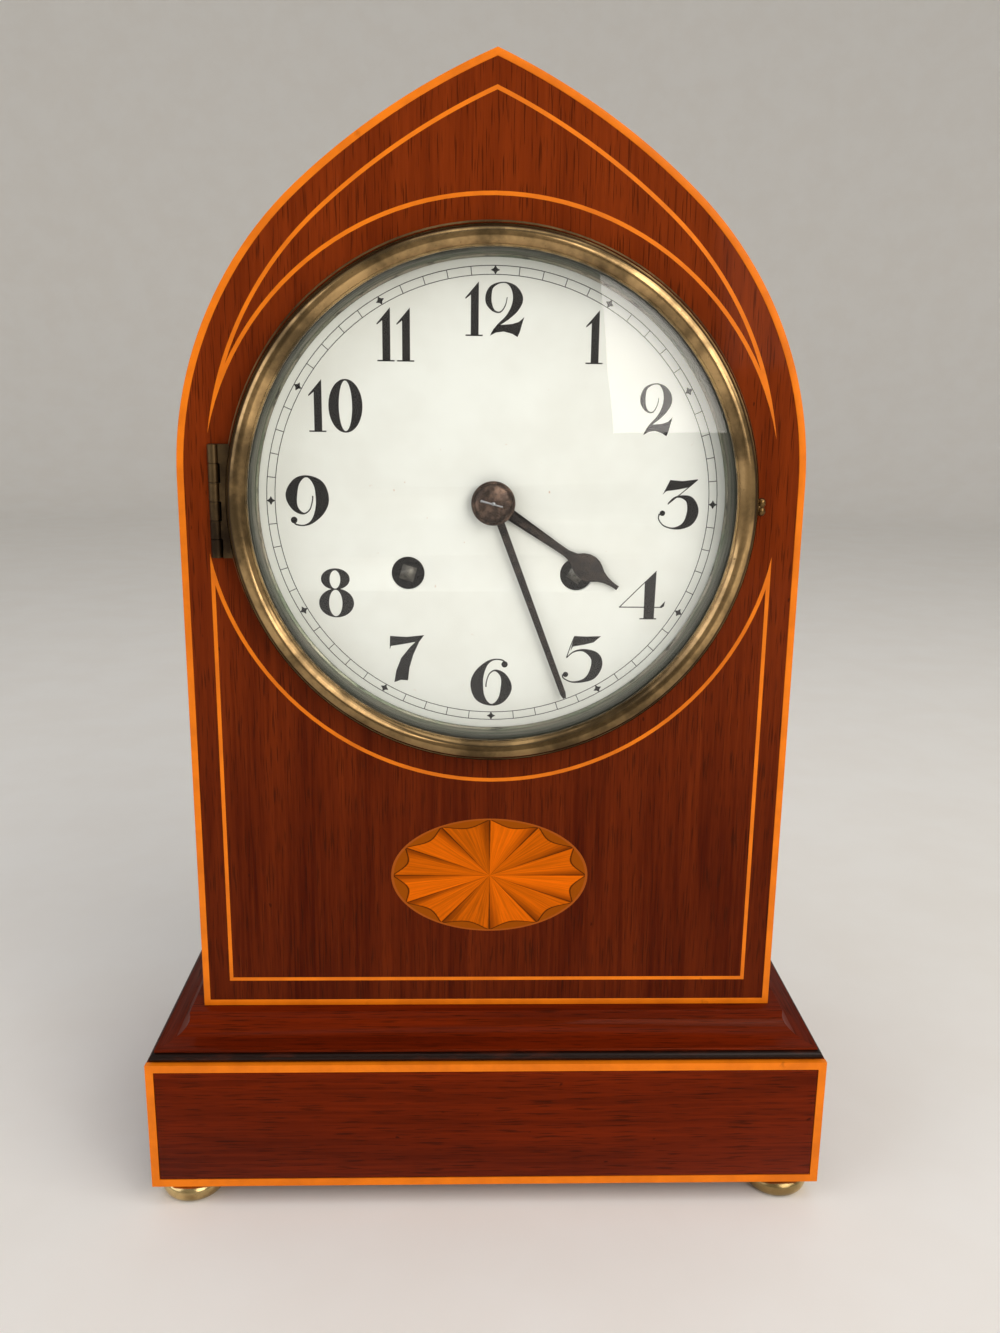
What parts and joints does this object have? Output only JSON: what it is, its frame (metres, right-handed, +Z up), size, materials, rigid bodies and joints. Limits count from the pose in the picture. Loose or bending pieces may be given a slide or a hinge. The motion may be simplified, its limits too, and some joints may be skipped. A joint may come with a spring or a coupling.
{
  "type": "lancet mantel clock",
  "caption": "Lancet-arched inlaid mantel clock on a moulded base with bun feet, hinged bezel over an enamel dial, and a spring-driven striking movement with a pendulum.",
  "frame": {"origin": "on the floor under the middle of the base", "axes": "+Z up, the dial faces -Y, +X to the right seen from the front"},
  "size_m": [0.2056, 0.133, 0.3313],
  "materials": {
    "mahogany": "french polished mahogany veneer",
    "dark_mahogany": "dark polished mahogany",
    "ebonised": "ebonised and polished",
    "boxwood": "polished boxwood line",
    "satinwood": "polished, sand-shaded satinwood",
    "pine": "plain stained wood",
    "brass": "polished, lightly tarnished",
    "old_brass": "dulled and dark",
    "enamel": "white vitreous enamel",
    "glass": "clear domed glass",
    "bronzed_steel": "dark bronzed steel",
    "steel": "polished steel",
    "iron": "blackened iron"
  },
  "bodies": {
    "clock_case": {"base_plinth": "dark_mahogany", "base_stringing": "boxwood", "base_top": "dark_mahogany", "base_bead": "ebonised", "foot_front_left": "brass", "foot_front_right": "brass", "foot_back_left": "brass", "foot_back_right": "brass", "case_front": "mahogany", "side_left": "mahogany", "side_right": "mahogany", "back_board": "pine", "edge_stringing": "boxwood", "upper_panel_stringing": "boxwood", "lower_panel_stringing": "boxwood", "fan_patera": "satinwood", "dial_pan": "brass", "dial": "enamel", "bezel_hinge_fixed_leaf": "old_brass", "bezel_hinge_pin": "old_brass", "back_ring": "brass", "strap_left": "brass", "strap_right": "brass", "front_plate": "brass", "back_plate": "brass", "suspension_cock": "brass", "gong": "steel", "gong_stand": "iron"},
    "bezel_frame": {"bezel": "brass", "sight_ring": "old_brass", "glass": "glass", "bezel_hinge_moving_leaf": "old_brass"},
    "rear_door": {"back_door": "brass"},
    "minute_work": {"cannon_pinion": "steel", "minute_hand": "bronzed_steel", "hand_collet": "bronzed_steel"},
    "motion_wheel": {"minute_wheel": "brass"},
    "hour_work": {"hour_wheel": "brass", "hour_hand": "bronzed_steel"},
    "escape": {"escape_wheel": "brass"},
    "third": {"third_wheel": "brass"},
    "centre": {"centre_wheel": "brass"},
    "going_second": {"going_second_wheel": "brass"},
    "going_drum": {"going_barrel": "brass"},
    "going_arbor": {"going_winding_arbor": "steel"},
    "going_pawl": {"going_click": "steel"},
    "strike_fly": {"fly": "brass"},
    "warning": {"warning_wheel": "brass"},
    "lifting": {"pin_wheel": "brass"},
    "strike_second": {"strike_second_wheel": "brass"},
    "strike_drum": {"strike_barrel": "brass"},
    "strike_arbor": {"strike_winding_arbor": "steel"},
    "strike_pawl": {"strike_click": "steel"},
    "pallets": {"anchor": "steel"},
    "pendulum": {"suspension_spring": "steel", "pendulum_rod": "steel"},
    "bob": {"pendulum_bob": "brass"},
    "nut": {"rating_nut": "brass"},
    "strike_hammer": {"hammer": "steel"}
  },
  "joints": [
    {"name": "bezel_hinge", "type": "hinge", "parent": "clock_case", "child": "bezel_frame", "pos_m": [-0.077, -0.05345, 0.2147], "axis": [0, 0, -1], "range_deg": [0, 110]},
    {"name": "back_door_hinge", "type": "hinge", "parent": "clock_case", "child": "rear_door", "pos_m": [-0.0704, 0.06245, 0.2147], "axis": [0, 0, 1], "range_deg": [0, 110]},
    {"name": "minute_hand_turn", "type": "hinge", "parent": "clock_case", "child": "minute_work", "pos_m": [0, -0.0375, 0.2147], "axis": [0, 1, 0], "continuous": true},
    {"name": "minute_wheel_turn", "type": "hinge", "parent": "clock_case", "child": "motion_wheel", "pos_m": [0.00574, -0.0375, 0.22289], "axis": [0, 1, 0], "continuous": true},
    {"name": "hour_hand_turn", "type": "hinge", "parent": "clock_case", "child": "hour_work", "pos_m": [0, -0.0415, 0.2147], "axis": [0, 1, 0], "continuous": true},
    {"name": "escape_wheel_turn", "type": "hinge", "parent": "clock_case", "child": "escape", "pos_m": [0, -0.005, 0.2427], "axis": [0, 1, 0], "continuous": true},
    {"name": "third_wheel_turn", "type": "hinge", "parent": "clock_case", "child": "third", "pos_m": [0.00724, -0.011, 0.23025], "axis": [0, 1, 0], "continuous": true},
    {"name": "centre_wheel_turn", "type": "hinge", "parent": "clock_case", "child": "centre", "pos_m": [0, -0.0295, 0.2147], "axis": [0, 1, 0], "continuous": true},
    {"name": "going_second_turn", "type": "hinge", "parent": "clock_case", "child": "going_second", "pos_m": [0.0175, -0.034, 0.21505], "axis": [0, 1, 0], "continuous": true},
    {"name": "going_barrel_turn", "type": "hinge", "parent": "clock_case", "child": "going_drum", "pos_m": [0.02415, -0.015, 0.1944], "axis": [0, 1, 0], "continuous": true},
    {"name": "going_winding", "type": "hinge", "parent": "clock_case", "child": "going_arbor", "pos_m": [0.02415, -0.038, 0.1944], "axis": [0, 1, 0], "continuous": true},
    {"name": "going_click_lift", "type": "hinge", "parent": "clock_case", "child": "going_pawl", "pos_m": [0.02415, -0.0385, 0.2047], "axis": [0, -1, 0], "range_deg": [0, 12]},
    {"name": "fly_turn", "type": "hinge", "parent": "clock_case", "child": "strike_fly", "pos_m": [-0.01475, -0.02, 0.25297], "axis": [0, 1, 0], "continuous": true},
    {"name": "warning_wheel_turn", "type": "hinge", "parent": "clock_case", "child": "warning", "pos_m": [-0.01955, -0.015, 0.24466], "axis": [0, 1, 0], "continuous": true},
    {"name": "pin_wheel_turn", "type": "hinge", "parent": "clock_case", "child": "lifting", "pos_m": [-0.02161, -0.021, 0.23296], "axis": [0, 1, 0], "continuous": true},
    {"name": "strike_second_turn", "type": "hinge", "parent": "clock_case", "child": "strike_second", "pos_m": [-0.01948, -0.034, 0.21559], "axis": [0, 1, 0], "continuous": true},
    {"name": "strike_barrel_turn", "type": "hinge", "parent": "clock_case", "child": "strike_drum", "pos_m": [-0.02415, -0.015, 0.1944], "axis": [0, 1, 0], "continuous": true},
    {"name": "strike_winding", "type": "hinge", "parent": "clock_case", "child": "strike_arbor", "pos_m": [-0.02415, -0.038, 0.1944], "axis": [0, 1, 0], "continuous": true},
    {"name": "strike_click_lift", "type": "hinge", "parent": "clock_case", "child": "strike_pawl", "pos_m": [-0.02415, -0.0385, 0.2047], "axis": [0, -1, 0], "range_deg": [0, 12]},
    {"name": "pendulum_swing", "type": "hinge", "parent": "clock_case", "child": "pendulum", "pos_m": [0, 0.01, 0.2572], "axis": [0, 1, 0], "range_deg": [-3.5, 3.5]},
    {"name": "anchor_rock", "type": "hinge", "parent": "clock_case", "child": "pallets", "pos_m": [0, -0.0045, 0.2572], "axis": [0, 1, 0], "range_deg": [-3.6, 3.6]},
    {"name": "bob_rating", "type": "slide", "parent": "pendulum", "child": "bob", "axis": [0, 0, 1], "range_m": [-0.0015, 0.0015]},
    {"name": "rating_nut_turn", "type": "hinge", "parent": "bob", "child": "nut", "pos_m": [0, 0.01, 0.0925], "axis": [0, 0, 1], "range_deg": [-1090, 1090]},
    {"name": "hammer_lift", "type": "hinge", "parent": "clock_case", "child": "strike_hammer", "pos_m": [-0.036, -0.02, 0.2367], "axis": [0, 1, 0], "range_deg": [0, 10]}
  ],
  "couplings": [
    {"joint": "minute_wheel_turn", "follows": "minute_hand_turn", "ratio": -0.33333},
    {"joint": "hour_hand_turn", "follows": "minute_hand_turn", "ratio": 0.083333},
    {"joint": "going_second_turn", "follows": "going_barrel_turn", "ratio": -6},
    {"joint": "centre_wheel_turn", "follows": "going_barrel_turn", "ratio": 36},
    {"joint": "third_wheel_turn", "follows": "going_barrel_turn", "ratio": -432},
    {"joint": "escape_wheel_turn", "follows": "going_barrel_turn", "ratio": 4752},
    {"joint": "strike_second_turn", "follows": "strike_barrel_turn", "ratio": -6},
    {"joint": "pin_wheel_turn", "follows": "strike_barrel_turn", "ratio": 36},
    {"joint": "warning_wheel_turn", "follows": "strike_barrel_turn", "ratio": -288},
    {"joint": "fly_turn", "follows": "strike_barrel_turn", "ratio": 2016},
    {"joint": "anchor_rock", "follows": "pendulum_swing", "ratio": 1},
    {"joint": "rating_nut_turn", "follows": "bob_rating", "rad_per_m": 12566}
  ]
}
